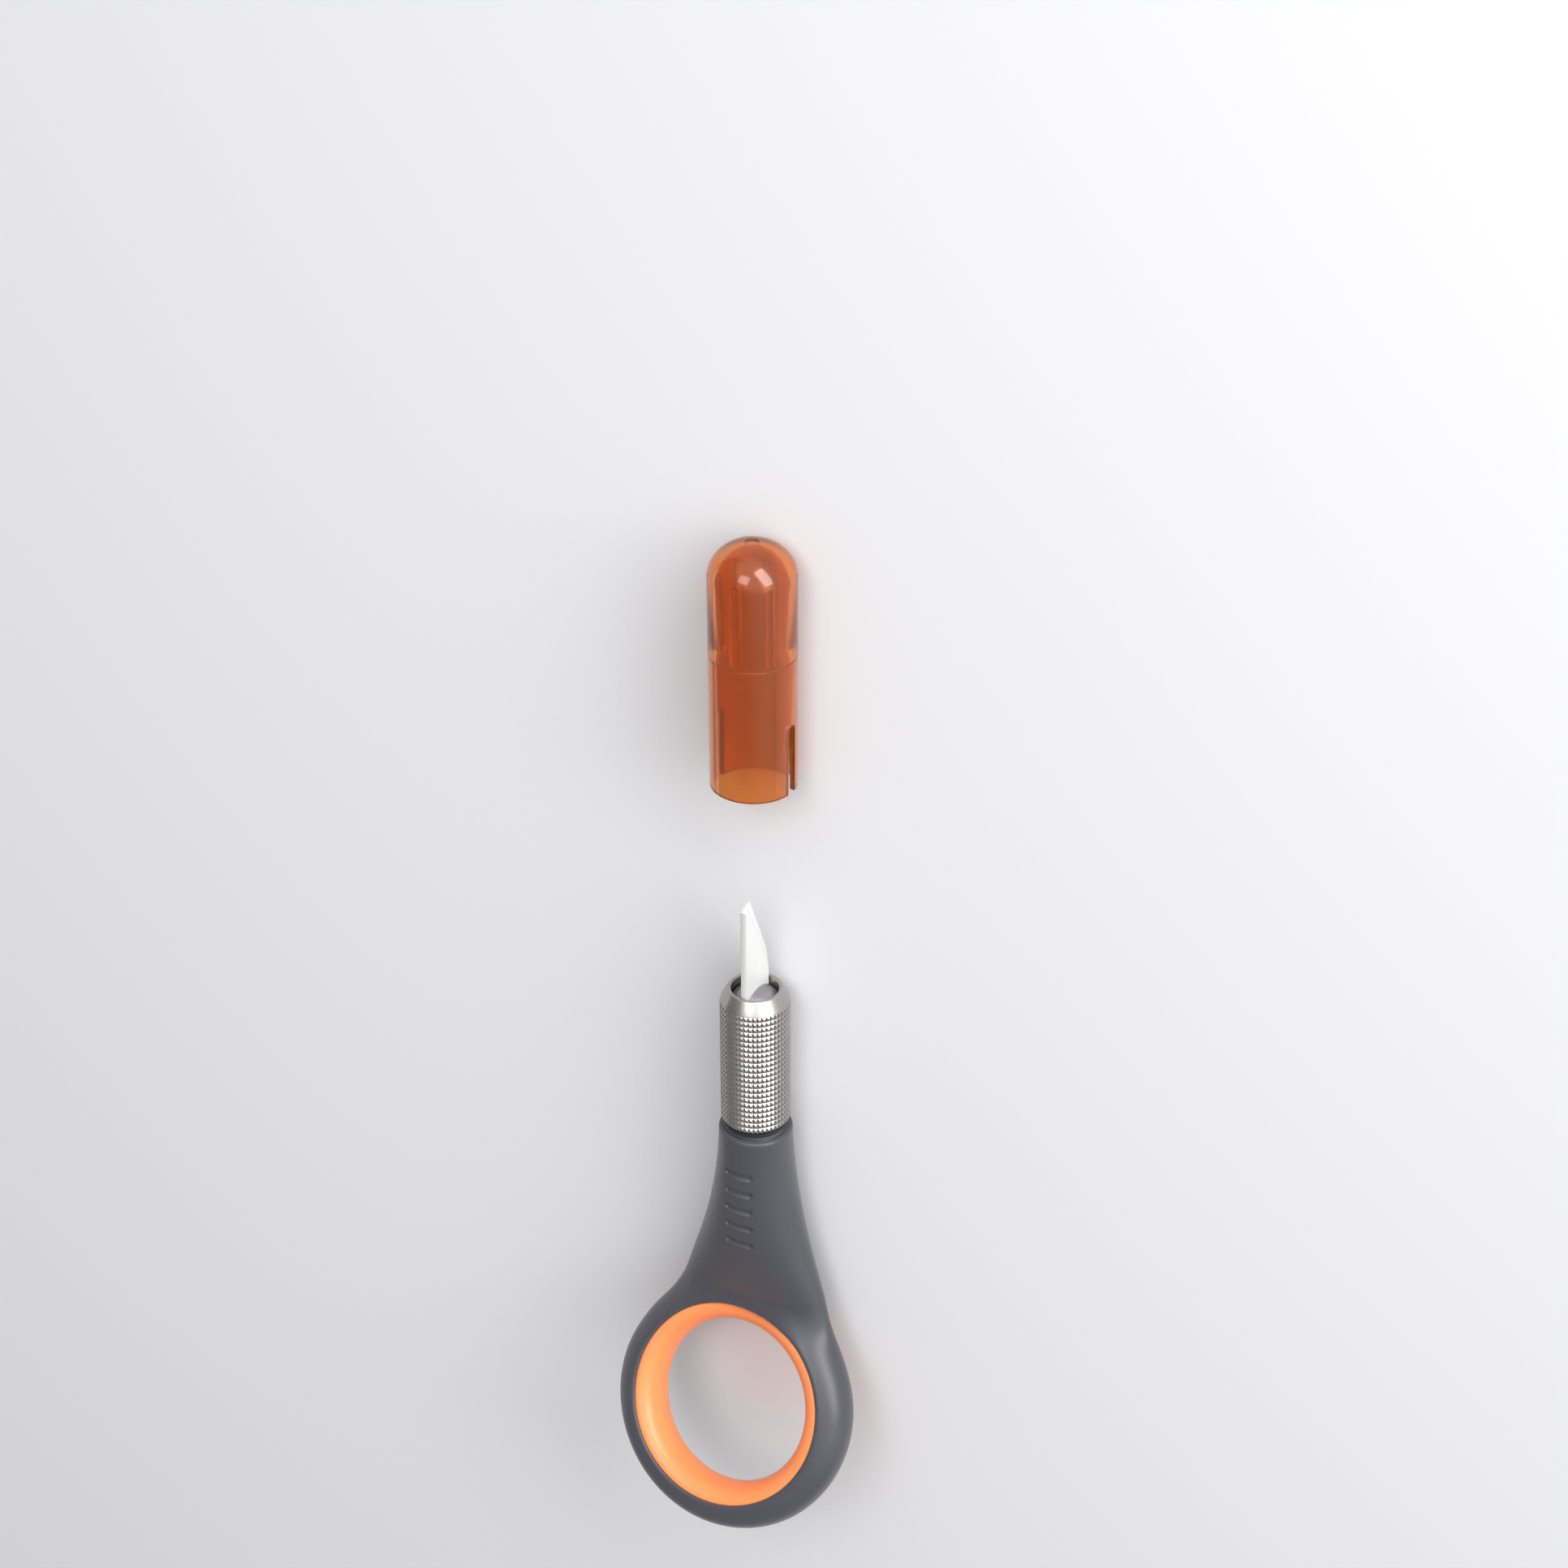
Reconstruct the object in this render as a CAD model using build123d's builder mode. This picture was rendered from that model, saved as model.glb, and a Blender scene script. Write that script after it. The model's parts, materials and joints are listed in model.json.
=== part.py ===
"""Hobby craft knife with a canted finger loop, a knurled clamp collar and a pull-off safety cap.

Frame: millimetres, origin at the centre of the finger loop's bore.  The knife lies flat: +X runs along
the barrel towards the blade tip, +Z is up, and the barrel axis lies in the XZ plane below the origin.
The loop is tilted about Y, so that its far end rises.
"""
from build123d import *
from math import cos, radians, sin, tan
import os

# ---- finger loop ----
LOOP_CANT = 26.5          # tilt of the loop's plane about Y, degrees
BORE_R = 11.5             # finger bore
BORE_LAND = 2.0           # cylindrical land in the middle of the liner
LINER_SEAT_R = 14.15      # where the liner meets the handle
LINER_HALF_H = 3.6
LINER_SWELL_R = 3.2       # the liner's flanks curve from its land out to its edges
LOOP_MID_R = 14.2         # centre of the loop's oval section
LOOP_SEMI_R = 3.8         # half of the section across the loop
LOOP_SEMI_H = 3.85        # half of the section along the bore
CORE_RING_R = 16.4
CORE_RING_HALF_H = 2.2
CORE_RING_CORNER = 0.6
LOOP_CUT = 12.0           # half height of the cylinder that clears the liner's seat

# ---- barrel stations along X ----
AXIS_Z = -6.2             # height of the barrel axis
NECK_END_X = 44.3
NECK_ROOT_X = 7.0         # last neck section, buried in the loop
NECK_RISE_X = 17.0        # from here back the neck's sections rise to meet the loop's middle plane
NECK_STATIONS = 9
FLANGE_TOP_X = 44.95
COLLAR_BASE_X = 45.63
SPIGOT_END_X = 57.0
CONE_FOOT_X = 61.0        # the clamping cone, shared by collet and collar
CONE_TOP_X = 64.6
DOME_BASE_X = 65.1        # the jaws end in a low dome
DOME_MIDDLE = (66.0, 1.6)
NOSE_BASE_X = 64.5
RIM_X = 66.3
BLADE_FOOT_X = 51.0
BLADE_SHOULDER_X = 70.9
BLADE_TIP_X = 80.4
CAP_MOUTH_X = 97.3
CAP_STEP_X = 115.4
CAP_DOME_X = 126.2
CAP_APEX_X = 130.8

# ---- radii and thicknesses ----
NECK_R = 5.0
NECK_SWELL = 0.76         # growth of the neck's half depth
NECK_THIN = 4.5           # late loss of half depth, which brings its top down to the liner's edge
NECK_FLARE = 10.6         # growth in half width towards the loop, where it meets the rim at a tangent
NECK_FLARE_POWER = 1.82
CORE_NECK_R = 4.3
CORE_WEB_R = 2.8          # thinner core where the neck meets the loop
CORE_WEB_X = 13.0
INSERT_TAIL_R = 3.2
INSERT_TAIL_X = 30.0
INSERT_COVER = 4.0        # core behind the insert's tail
GROOVE_STEPS = (4.0, 9.0)  # holding grooves, from the end of the insert's tail
GROOVE_W = 2.0
GROOVE_DEPTH = 0.6
FLANGE_R = 4.35
THREAD_R = 3.95           # major radius of the spigot's thread
THREAD_GAP = 0.05
THREAD_BREAK = 0.4        # chamfer that leads the collar on to the thread
SPIGOT_BORE_R = 3.3
SPIGOT_BORE_X = 47.0
COLLAR_R = 4.7
COLLAR_BREAK = 0.15
COLLAR_THREAD_PAST = 0.5  # the collar's thread runs on this far past the closed spigot
RIM_R = 3.7
RIM_BREAK = 0.12
MOUTH_R = 3.13
COLLET_TAIL_R = 3.25
COLLET_HEAD_R = 3.78
COLLET_NOSE_R = 3.0
CONE_GAP = 0.05           # between the collet's cone and the collar's, clamped
HEAD_SHOULDER = (0.3, 0.9)  # the collet's tail widens into its head past the end of the spigot
WASHER_R = 4.5
WASHER_GAP = 0.055        # each side of the washer
BLADE_W = 5.8
BLADE_T = 0.86
BLADE_SIDE_GAP = 0.04
TIP_HIGH_Z = 2.2          # the blunt tip runs between these heights above the barrel axis
TIP_LOW_Z = 1.3
TIP_CLIP = 1.1            # length of the clipped corner between spine and tip
FOOT_CHAMFER = 0.5
BEVEL_W = 1.3             # ground strip along the cutting edge
EDGE_LAND = 0.1           # thickness left at the cutting edge
CAP_R = 5.57
CAP_BREAK = 0.2
CAP_SLEEVE_R = 4.85       # fits over the collar
CAP_UPPER_R = 4.5
CAP_END_WALL = 1.0
CAP_RIBS = 6
CAP_RIB_R = 3.7           # clear radius inside the ribs
CAP_RIB_T = 0.7
CAP_RIB_START = 0.5       # from the inner step
CAP_DIMPLE_R = 0.9
CAP_DIMPLE_DEPTH = 0.25
CAP_SLOT_W = 1.6
CAP_SLOT_END_X = 107.0   # the slots are open at the mouth
MARK_BARS = 5             # grip bars pressed into the neck's top
MARK_PITCH = 2.9
MARK_X = 32.8
MARK_LENGTH = 4.2
MARK_WIDTH = 0.95
MARK_DEPTH = 0.3

cant = radians(LOOP_CANT)
loop_normal = (sin(cant), 0, cos(cant))
loop_forward = (cos(cant), 0, -sin(cant))
loop_section = Plane(origin=(0, 0, 0), x_dir=loop_forward, z_dir=(0, -1, 0))
loop_plane = Plane(origin=(0, 0, 0), x_dir=loop_forward, z_dir=loop_normal)
loop_axis = Axis((0, 0, 0), loop_normal)
barrel_section = Plane(origin=(0, 0, AXIS_Z), x_dir=(1, 0, 0), z_dir=(0, -1, 0))
barrel_axis = Axis((0, 0, AXIS_Z), (1, 0, 0))


def across_barrel(x, height=AXIS_Z):
    """Plane square to the barrel at x, with its own x along Y and its own y along Z."""
    return Plane(origin=(x, 0, height), x_dir=(0, 1, 0), z_dir=(1, 0, 0))


def neck_section(x):
    """Centre height, half width and half depth of the neck at x."""
    along = (NECK_END_X - x) / (NECK_END_X - NECK_ROOT_X)
    rise = max(0.0, (NECK_RISE_X - x) / (NECK_RISE_X - NECK_ROOT_X)) ** 2
    loop_middle = -NECK_ROOT_X * tan(cant)
    centre = AXIS_Z + (loop_middle - AXIS_Z) * rise
    half_width = NECK_R + NECK_FLARE * along ** NECK_FLARE_POWER
    half_depth = NECK_R + NECK_SWELL * along - NECK_THIN * along ** 3
    return centre, half_width, half_depth


def save(piece, label):
    """Label a finished piece and write it as its own STEP file."""
    piece.part.label = label
    export_step(piece.part, f"parts/{label}.step")


os.makedirs("parts", exist_ok=True)

# ---- threaded insert: a turned spigot moulded into the neck ----
with BuildPart() as threaded_insert:
    with BuildSketch(barrel_section):
        with BuildLine():
            Polyline(
                (INSERT_TAIL_X, 0), (INSERT_TAIL_X, INSERT_TAIL_R), (NECK_END_X, INSERT_TAIL_R),
                (NECK_END_X, FLANGE_R), (FLANGE_TOP_X, FLANGE_R), (FLANGE_TOP_X, THREAD_R),
                (SPIGOT_END_X - THREAD_BREAK, THREAD_R), (SPIGOT_END_X, THREAD_R - THREAD_BREAK),
                (SPIGOT_END_X, SPIGOT_BORE_R), (SPIGOT_BORE_X, SPIGOT_BORE_R), (SPIGOT_BORE_X, 0),
                close=True)
        make_face()
    revolve(axis=barrel_axis)
    with BuildSketch(barrel_section):
        with Locations(*[(INSERT_TAIL_X + step, INSERT_TAIL_R) for step in GROOVE_STEPS]):
            Rectangle(GROOVE_W, 2 * GROOVE_DEPTH)
    revolve(axis=barrel_axis, mode=Mode.SUBTRACT)
save(threaded_insert, "threaded_insert")

# ---- handle core: the rigid moulding under the soft grip ----
with BuildPart() as handle_core:
    with BuildSketch(loop_section):
        with Locations(((LINER_SEAT_R + CORE_RING_R) / 2, 0)):
            RectangleRounded(CORE_RING_R - LINER_SEAT_R, 2 * CORE_RING_HALF_H, CORE_RING_CORNER)
    revolve(axis=loop_axis)
    with BuildSketch(across_barrel(CORE_WEB_X)):
        Circle(CORE_WEB_R)
    extrude(amount=NECK_END_X - CORE_WEB_X)
    with BuildSketch(across_barrel(INSERT_TAIL_X - INSERT_COVER)):
        Circle(CORE_NECK_R)
    extrude(amount=NECK_END_X - INSERT_TAIL_X + INSERT_COVER)
    with BuildSketch(loop_plane.offset(-LOOP_CUT)):
        Circle(LINER_SEAT_R)
    extrude(amount=2 * LOOP_CUT, mode=Mode.SUBTRACT)
    add(threaded_insert.part, mode=Mode.SUBTRACT)
save(handle_core, "handle_core")

# ---- grip shell: the soft overmould, one skin over the loop and the neck ----
with BuildPart() as grip_shell:
    with BuildSketch(loop_section):
        with Locations((LOOP_MID_R, 0)):
            Ellipse(LOOP_SEMI_R, LOOP_SEMI_H)
    revolve(axis=loop_axis)
    for step in range(NECK_STATIONS):
        x = NECK_END_X - step / (NECK_STATIONS - 1) * (NECK_END_X - NECK_ROOT_X)
        centre, half_width, half_depth = neck_section(x)
        with BuildSketch(across_barrel(x, centre)):
            Ellipse(half_width, half_depth)
    loft()
    with BuildSketch(loop_plane.offset(-LOOP_CUT)):
        Circle(LINER_SEAT_R)
    extrude(amount=2 * LOOP_CUT, mode=Mode.SUBTRACT)
    add(handle_core.part, mode=Mode.SUBTRACT)
    add(threaded_insert.part, mode=Mode.SUBTRACT)
    for bar in range(MARK_BARS):
        x = MARK_X + (bar - (MARK_BARS - 1) / 2) * MARK_PITCH
        centre, half_width, half_depth = neck_section(x)
        with BuildSketch(Plane.XY.offset(centre + half_depth - MARK_DEPTH)):
            with Locations((x, 0)):
                SlotOverall(MARK_LENGTH, MARK_WIDTH, rotation=90)
        extrude(amount=1, mode=Mode.SUBTRACT)
save(grip_shell, "grip_shell")

# ---- ring liner: the convex coloured band the finger rests in ----
with BuildPart() as ring_liner:
    with BuildSketch(loop_section):
        with BuildLine():
            Line((LINER_SEAT_R, -LINER_HALF_H), (LINER_SEAT_R, LINER_HALF_H))
            RadiusArc((LINER_SEAT_R, LINER_HALF_H), (BORE_R, BORE_LAND / 2), -LINER_SWELL_R)
            Line((BORE_R, BORE_LAND / 2), (BORE_R, -BORE_LAND / 2))
            RadiusArc((BORE_R, -BORE_LAND / 2), (LINER_SEAT_R, -LINER_HALF_H), -LINER_SWELL_R)
        make_face()
    revolve(axis=loop_axis)
save(ring_liner, "ring_liner")

# ---- collet: two jaws on one tail, split to take the blade ----
collet_foot_x = SPIGOT_BORE_X + THREAD_GAP
with BuildPart() as collet:
    with BuildSketch(barrel_section):
        with BuildLine():
            Polyline(
                (collet_foot_x, 0), (collet_foot_x, COLLET_TAIL_R),
                (SPIGOT_END_X + HEAD_SHOULDER[0], COLLET_TAIL_R),
                (SPIGOT_END_X + HEAD_SHOULDER[1], COLLET_HEAD_R), (CONE_FOOT_X, COLLET_HEAD_R),
                (CONE_TOP_X, COLLET_NOSE_R), (DOME_BASE_X, COLLET_NOSE_R))
            ThreePointArc((DOME_BASE_X, COLLET_NOSE_R), DOME_MIDDLE, (RIM_X, 0))
            Line((RIM_X, 0), (collet_foot_x, 0))
        make_face()
    revolve(axis=barrel_axis)
    with BuildSketch(across_barrel(BLADE_FOOT_X - BLADE_SIDE_GAP)):
        Rectangle(BLADE_T + 2 * BLADE_SIDE_GAP, 3 * COLLET_HEAD_R)
    extrude(amount=RIM_X, mode=Mode.SUBTRACT)
save(collet, "collet")

# ---- thrust washer: rides up and down with the collar, without turning ----
with BuildPart() as thrust_washer:
    with BuildSketch(across_barrel(FLANGE_TOP_X + WASHER_GAP)):
        Circle(WASHER_R)
        Circle(THREAD_R + THREAD_GAP, mode=Mode.SUBTRACT)
    extrude(amount=COLLAR_BASE_X - FLANGE_TOP_X - 2 * WASHER_GAP)
save(thrust_washer, "thrust_washer")

# ---- clamp collar: its inner cone closes the collet on the blade ----
thread_root_r = THREAD_R + THREAD_GAP
with BuildPart() as clamp_collar:
    with BuildSketch(barrel_section):
        with BuildLine():
            Polyline(
                (COLLAR_BASE_X, thread_root_r), (COLLAR_BASE_X, COLLAR_R - COLLAR_BREAK),
                (COLLAR_BASE_X + COLLAR_BREAK, COLLAR_R), (NOSE_BASE_X, COLLAR_R),
                (RIM_X - RIM_BREAK, RIM_R), (RIM_X, RIM_R - RIM_BREAK), (RIM_X, MOUTH_R),
                (CONE_TOP_X, MOUTH_R), (CONE_FOOT_X, COLLET_HEAD_R + CONE_GAP),
                (SPIGOT_END_X + COLLAR_THREAD_PAST, COLLET_HEAD_R + CONE_GAP),
                (SPIGOT_END_X + COLLAR_THREAD_PAST, thread_root_r), close=True)
        make_face()
    revolve(axis=barrel_axis)
save(clamp_collar, "clamp_collar")

# ---- blade: a ceramic strip with a straight spine and an angled, double-ground cutting edge ----
edge_top = (BLADE_TIP_X, TIP_LOW_Z)
edge_bottom = (BLADE_SHOULDER_X, -BLADE_W / 2)
with BuildPart() as blade:
    with BuildSketch(barrel_section):
        with BuildLine():
            Polyline(
                edge_bottom, (BLADE_FOOT_X + FOOT_CHAMFER, -BLADE_W / 2),
                (BLADE_FOOT_X, FOOT_CHAMFER - BLADE_W / 2), (BLADE_FOOT_X, BLADE_W / 2 - FOOT_CHAMFER),
                (BLADE_FOOT_X + FOOT_CHAMFER, BLADE_W / 2), (BLADE_TIP_X - TIP_CLIP, BLADE_W / 2),
                (BLADE_TIP_X, TIP_HIGH_Z), edge_top, close=True)
        make_face()
    extrude(amount=BLADE_T / 2, both=True)
    edge_out = Vector(edge_top[1] - edge_bottom[1], 0, edge_bottom[0] - edge_top[0])
    cutting_face = blade.faces().sort_by(lambda face: face.normal_at().dot(edge_out))[-1]
    chamfer(cutting_face.edges().sort_by(SortBy.LENGTH)[-2:], (BLADE_T - EDGE_LAND) / 2, BEVEL_W,
            reference=cutting_face)
save(blade, "blade")

# ---- safety cap: a clear domed sleeve with inner ribs and two side slots ----
with BuildPart() as safety_cap:
    with BuildSketch(barrel_section):
        with BuildLine():
            Polyline((CAP_DOME_X, CAP_R), (CAP_MOUTH_X + CAP_BREAK, CAP_R), (CAP_MOUTH_X, CAP_R - CAP_BREAK),
                     (CAP_MOUTH_X, CAP_SLEEVE_R), (CAP_STEP_X, CAP_SLEEVE_R),
                     (CAP_STEP_X, CAP_UPPER_R), (CAP_DOME_X - CAP_END_WALL, CAP_UPPER_R))
            EllipticalCenterArc((CAP_DOME_X - CAP_END_WALL, 0), CAP_APEX_X - CAP_DOME_X, CAP_UPPER_R)
            Line((CAP_APEX_X - CAP_END_WALL, 0), (CAP_APEX_X, 0))
            EllipticalCenterArc((CAP_DOME_X, 0), CAP_APEX_X - CAP_DOME_X, CAP_R)
        make_face()
    revolve(axis=barrel_axis)
    rib_reach = (CAP_R + CAP_UPPER_R) / 2 - CAP_RIB_R
    with BuildSketch(across_barrel(CAP_STEP_X + CAP_RIB_START)):
        with PolarLocations(CAP_RIB_R + rib_reach / 2, CAP_RIBS, start_angle=30):
            Rectangle(rib_reach, CAP_RIB_T)
    extrude(amount=CAP_DOME_X - CAP_STEP_X)
    slot_start = CAP_MOUTH_X - CAP_SLOT_W
    with BuildSketch(Plane.XZ.offset(-2 * CAP_R)):
        with Locations(((slot_start + CAP_SLOT_END_X) / 2, AXIS_Z)):
            SlotOverall(CAP_SLOT_END_X - slot_start, CAP_SLOT_W)
    extrude(amount=4 * CAP_R, mode=Mode.SUBTRACT)
    with BuildSketch(across_barrel(CAP_APEX_X - CAP_DIMPLE_DEPTH)):
        Circle(CAP_DIMPLE_R)
    extrude(amount=CAP_DIMPLE_R, mode=Mode.SUBTRACT)
save(safety_cap, "safety_cap")
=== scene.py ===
"""Looks of a hobby craft knife with a canted finger loop, built as an add-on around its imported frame."""

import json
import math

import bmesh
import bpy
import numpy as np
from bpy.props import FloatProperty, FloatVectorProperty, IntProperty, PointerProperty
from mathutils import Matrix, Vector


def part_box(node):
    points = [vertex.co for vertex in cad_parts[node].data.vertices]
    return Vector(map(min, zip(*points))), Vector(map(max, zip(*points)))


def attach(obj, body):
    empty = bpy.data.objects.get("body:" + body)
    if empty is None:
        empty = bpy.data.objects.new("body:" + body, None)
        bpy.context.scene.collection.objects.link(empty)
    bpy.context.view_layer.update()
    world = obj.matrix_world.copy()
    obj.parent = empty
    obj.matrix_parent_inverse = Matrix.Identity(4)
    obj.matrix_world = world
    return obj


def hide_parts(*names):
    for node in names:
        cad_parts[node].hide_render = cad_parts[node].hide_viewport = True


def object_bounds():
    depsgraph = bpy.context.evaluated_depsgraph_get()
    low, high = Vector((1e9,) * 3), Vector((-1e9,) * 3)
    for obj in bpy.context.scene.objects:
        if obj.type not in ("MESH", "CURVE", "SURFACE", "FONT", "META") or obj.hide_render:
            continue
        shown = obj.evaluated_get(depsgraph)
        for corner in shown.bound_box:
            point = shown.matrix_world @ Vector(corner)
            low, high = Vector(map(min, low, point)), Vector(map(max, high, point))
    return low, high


bl_info = {
    "name": "Finger Loop Craft Knife",
    "version": (1, 0, 0),
    "blender": (4, 5, 0),
    "location": "View3D > Sidebar > Craft Knife",
    "description": "Grip, liner, knurled collar, collet, blade and clear cap of a craft knife",
    "category": "Add Mesh",
}

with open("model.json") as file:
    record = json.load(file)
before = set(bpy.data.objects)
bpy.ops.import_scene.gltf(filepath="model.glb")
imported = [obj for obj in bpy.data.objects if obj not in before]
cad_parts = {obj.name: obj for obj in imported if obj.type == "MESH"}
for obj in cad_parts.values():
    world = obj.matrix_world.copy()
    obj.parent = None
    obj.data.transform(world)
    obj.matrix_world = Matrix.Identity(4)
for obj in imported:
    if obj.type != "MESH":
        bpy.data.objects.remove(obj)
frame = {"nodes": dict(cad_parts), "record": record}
CAD_BOX = [list(corner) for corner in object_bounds()]

MM = 0.001

# ---- places read from the frame, in millimetres ----


def node_box(name):
    """Lowest and highest corner of a CAD node, in millimetres."""
    low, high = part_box(name)
    return np.array(low) / MM, np.array(high) / MM


GRIP_LOW, GRIP_HIGH = node_box("grip_shell")
COLLAR_LOW, COLLAR_HIGH = node_box("clamp_collar")
CAP_LOW, CAP_HIGH = node_box("safety_cap")
BARREL_Z = float(COLLAR_LOW[2] + COLLAR_HIGH[2]) / 2
COLLAR_BASE_X, COLLAR_RIM_X = float(COLLAR_LOW[0]), float(COLLAR_HIGH[0])
COLLAR_R = float(COLLAR_HIGH[1] - COLLAR_LOW[1]) / 2
CAP_MOUTH_X, CAP_APEX_X = float(CAP_LOW[0]), float(CAP_HIGH[0])
CAP_R = float(CAP_HIGH[1] - CAP_LOW[1]) / 2
LOOP_R = float(GRIP_HIGH[1] - GRIP_LOW[1]) / 2
NECK_END_X = float(GRIP_HIGH[0])
RING_MOUNT = frame["record"]["mounts"][0]
BORE_R = float(RING_MOUNT["dims"]["r_mm"])
LOOP_NORMAL = np.array(RING_MOUNT["axis"]) / np.linalg.norm(RING_MOUNT["axis"])
LOOP_FORWARD = np.array((LOOP_NORMAL[2], 0.0, -LOOP_NORMAL[0]))

# ---- shape rules of the pieces, in millimetres ----

SEAT_R = BORE_R + 2.65      # the liner sits against the loop here
LOOP_MID_R = LOOP_R - 3.8   # middle of the loop's oval section
LOOP_HALF_H = 3.85
NECK_ROOT_X = 7.0           # the neck ends here, inside the loop
NECK_RISE_X = 17.0          # from here back the neck's middle climbs to the loop's
NECK_R = 5.0                # at the collar
NECK_FLARE = 10.6           # growth of the half width from collar to root
NECK_FLARE_POWER = 1.82
NECK_SWELL = 0.76           # growth of the half depth
NECK_THIN = 4.5             # loss of half depth near the root
FLANK_X = 11.0              # where the neck runs out on the loop's flanks
FLANK_REACH = 6.0
BAR_MIDDLE_X = 32.8
BAR_STRAIGHT = 1.65         # half length of a grip bar without its round ends
BAR_HALF_WIDTH = 0.48
BAR_SLOPE = 0.22
KNURL_SUNK = 0.12           # the knurl's tips lie this far below the nose's shoulder
NOSE_LENGTH = 1.8
THREAD_WALL = 0.68          # collar wall over its thread, and over the collet's head
HEAD_WALL = 0.87
CAP_STEP_X = CAP_MOUTH_X + 18.1
SLEEVE_WALL = 0.72          # cap wall below the step and above it
UPPER_WALL = 1.07
DOME_WALL = 1.0
DOME_RISE = 4.6
SLOT_LENGTH = 9.7           # from the cap's mouth, where the slots are open
SLOT_WIDTH = 1.6
RIB_START = 0.5             # past the step
RIB_LENGTH = 10.4
RIB_DEPTH = 1.35
RIB_THICKNESS = 0.7
RIB_FRONT = 1.87            # from the cap's outside to the ribs' fronts


def linear(hex_colour):
    """An sRGB colour written as #rrggbb, as the linear colour that shaders take."""
    channels = [int(hex_colour[i:i + 2], 16) / 255 for i in (1, 3, 5)]
    return tuple(c / 12.92 if c <= 0.04045 else ((c + 0.055) / 1.055) ** 2.4 for c in channels)


def colour_property(label, hex_colour, note):
    """A colour setting whose default is given as #rrggbb."""
    return FloatVectorProperty(name=label, description=note, subtype="COLOR", size=3, min=0, max=1,
                               default=linear(hex_colour))


def length_property(label, millimetres, note):
    """A length setting whose default is given in millimetres."""
    return FloatProperty(name=label, description=note, subtype="DISTANCE", unit="LENGTH",
                         default=millimetres * MM, min=0)


def power_property(label, watts, note):
    """A light's power setting, in watts."""
    return FloatProperty(name=label, description=note, subtype="POWER", unit="POWER", default=watts, min=0)


# ---- settings ----


class GripSettings(bpy.types.PropertyGroup):
    colour: colour_property("Grip colour", "#404047", "Dark slate of the soft overmould")
    blend: length_property("Blend", 2.6, "Radius that joins the neck to the loop")
    detail: length_property("Detail", 0.27, "Face size of the grip's skin")
    bar_depth: length_property("Bar depth", 0.28, "Depth of the grip bars pressed into the neck")
    bar_pitch: length_property("Bar pitch", 2.9, "Distance from bar to bar")
    bars: IntProperty(name="Bars", description="Number of grip bars", default=5, min=1)


class LinerSettings(bpy.types.PropertyGroup):
    colour: colour_property("Liner colour", "#f28a52", "Orange of the finger ring's liner")
    half_height: length_property("Half height", 3.62, "From the band's middle to its edge")


class CollarSettings(bpy.types.PropertyGroup):
    colour: colour_property("Collar colour", "#b2afac", "Satin nickel")
    columns: IntProperty(name="Columns", description="Knurl points round the collar", default=48, min=8)
    rows: IntProperty(name="Rows", description="Knurl points along the collar", default=23, min=2)
    knurl_depth: length_property("Knurl depth", 0.21, "Height of the knurl's points")
    knurl_tip: FloatProperty(name="Knurl tip", subtype="FACTOR", default=0.26, min=0, max=1,
                             description="Width of a point's flat top, as a share of its foot")


class BladeSettings(bpy.types.PropertyGroup):
    colour: colour_property("Blade colour", "#c8c8c6", "White of the zirconia")
    edge_round: length_property("Edge round", 0.05, "Rounding of the blade's arrises")


class CapSettings(bpy.types.PropertyGroup):
    colour: colour_property("Cap colour", "#ea8d44", "Clear orange of the cap")
    edge_round: length_property("Edge round", 0.22, "Rounding of the cap's mouth and step")
    ribs: IntProperty(name="Ribs", description="Ribs inside the cap's upper part", default=6, min=1)


class StageSettings(bpy.types.PropertyGroup):
    floor_colour: colour_property("Floor colour", "#d6d6d8", "Pale floor under the knife")
    key_power: power_property("Key light", 3.6, "Power of the long soft box on the right")
    top_power: power_property("Top light", 1.3, "Power of the soft box above")
    edge_power: power_property("Edge light", 0.2, "Power of the low strip on the left")


class KnifeSettings(bpy.types.PropertyGroup):
    grip: PointerProperty(type=GripSettings, name="Grip", description="Soft overmould")
    liner: PointerProperty(type=LinerSettings, name="Liner", description="Finger ring liner")
    collar: PointerProperty(type=CollarSettings, name="Collar", description="Knurled clamp collar")
    blade: PointerProperty(type=BladeSettings, name="Blade", description="Ceramic blade")
    cap: PointerProperty(type=CapSettings, name="Cap", description="Clear safety cap")
    stage: PointerProperty(type=StageSettings, name="Stage", description="Floor, lights and camera")


# ---- nodes and materials ----


def add_node(tree, kind, inputs=(), **settings):
    """Add a node with its settings; an input is given a value, or another node's output to link."""
    fresh = tree.nodes.new(kind)
    for key, value in settings.items():
        setattr(fresh, key, value)
    for key, value in dict(inputs).items():
        if isinstance(value, bpy.types.NodeSocket):
            tree.links.new(value, fresh.inputs[key])
        else:
            fresh.inputs[key].default_value = value
    return fresh


def start_material(name):
    """An empty node material with its output, its Principled shader and its Object coordinates."""
    material = bpy.data.materials.new(name)
    material.use_nodes = True
    tree = material.node_tree
    tree.nodes.clear()
    shader = add_node(tree, "ShaderNodeBsdfPrincipled")
    add_node(tree, "ShaderNodeOutputMaterial", {"Surface": shader.outputs["BSDF"]})
    coordinates = add_node(tree, "ShaderNodeTexCoord").outputs["Object"]
    return material, tree, shader, coordinates


def per_metre(millimetres):
    """Noise scale whose cells are that many millimetres wide."""
    return 1 / (millimetres * MM)


def tint(tree, shader, fac, colour, spread):
    """Let the base colour wander a little about a colour, darker to lighter."""
    low = tuple(c * (1 - spread) for c in colour) + (1,)
    high = tuple(min(1, c * (1 + spread)) for c in colour) + (1,)
    mix = add_node(tree, "ShaderNodeMix", {0: fac, 6: low, 7: high}, data_type="RGBA")
    tree.links.new(mix.outputs[2], shader.inputs["Base Color"])


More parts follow.
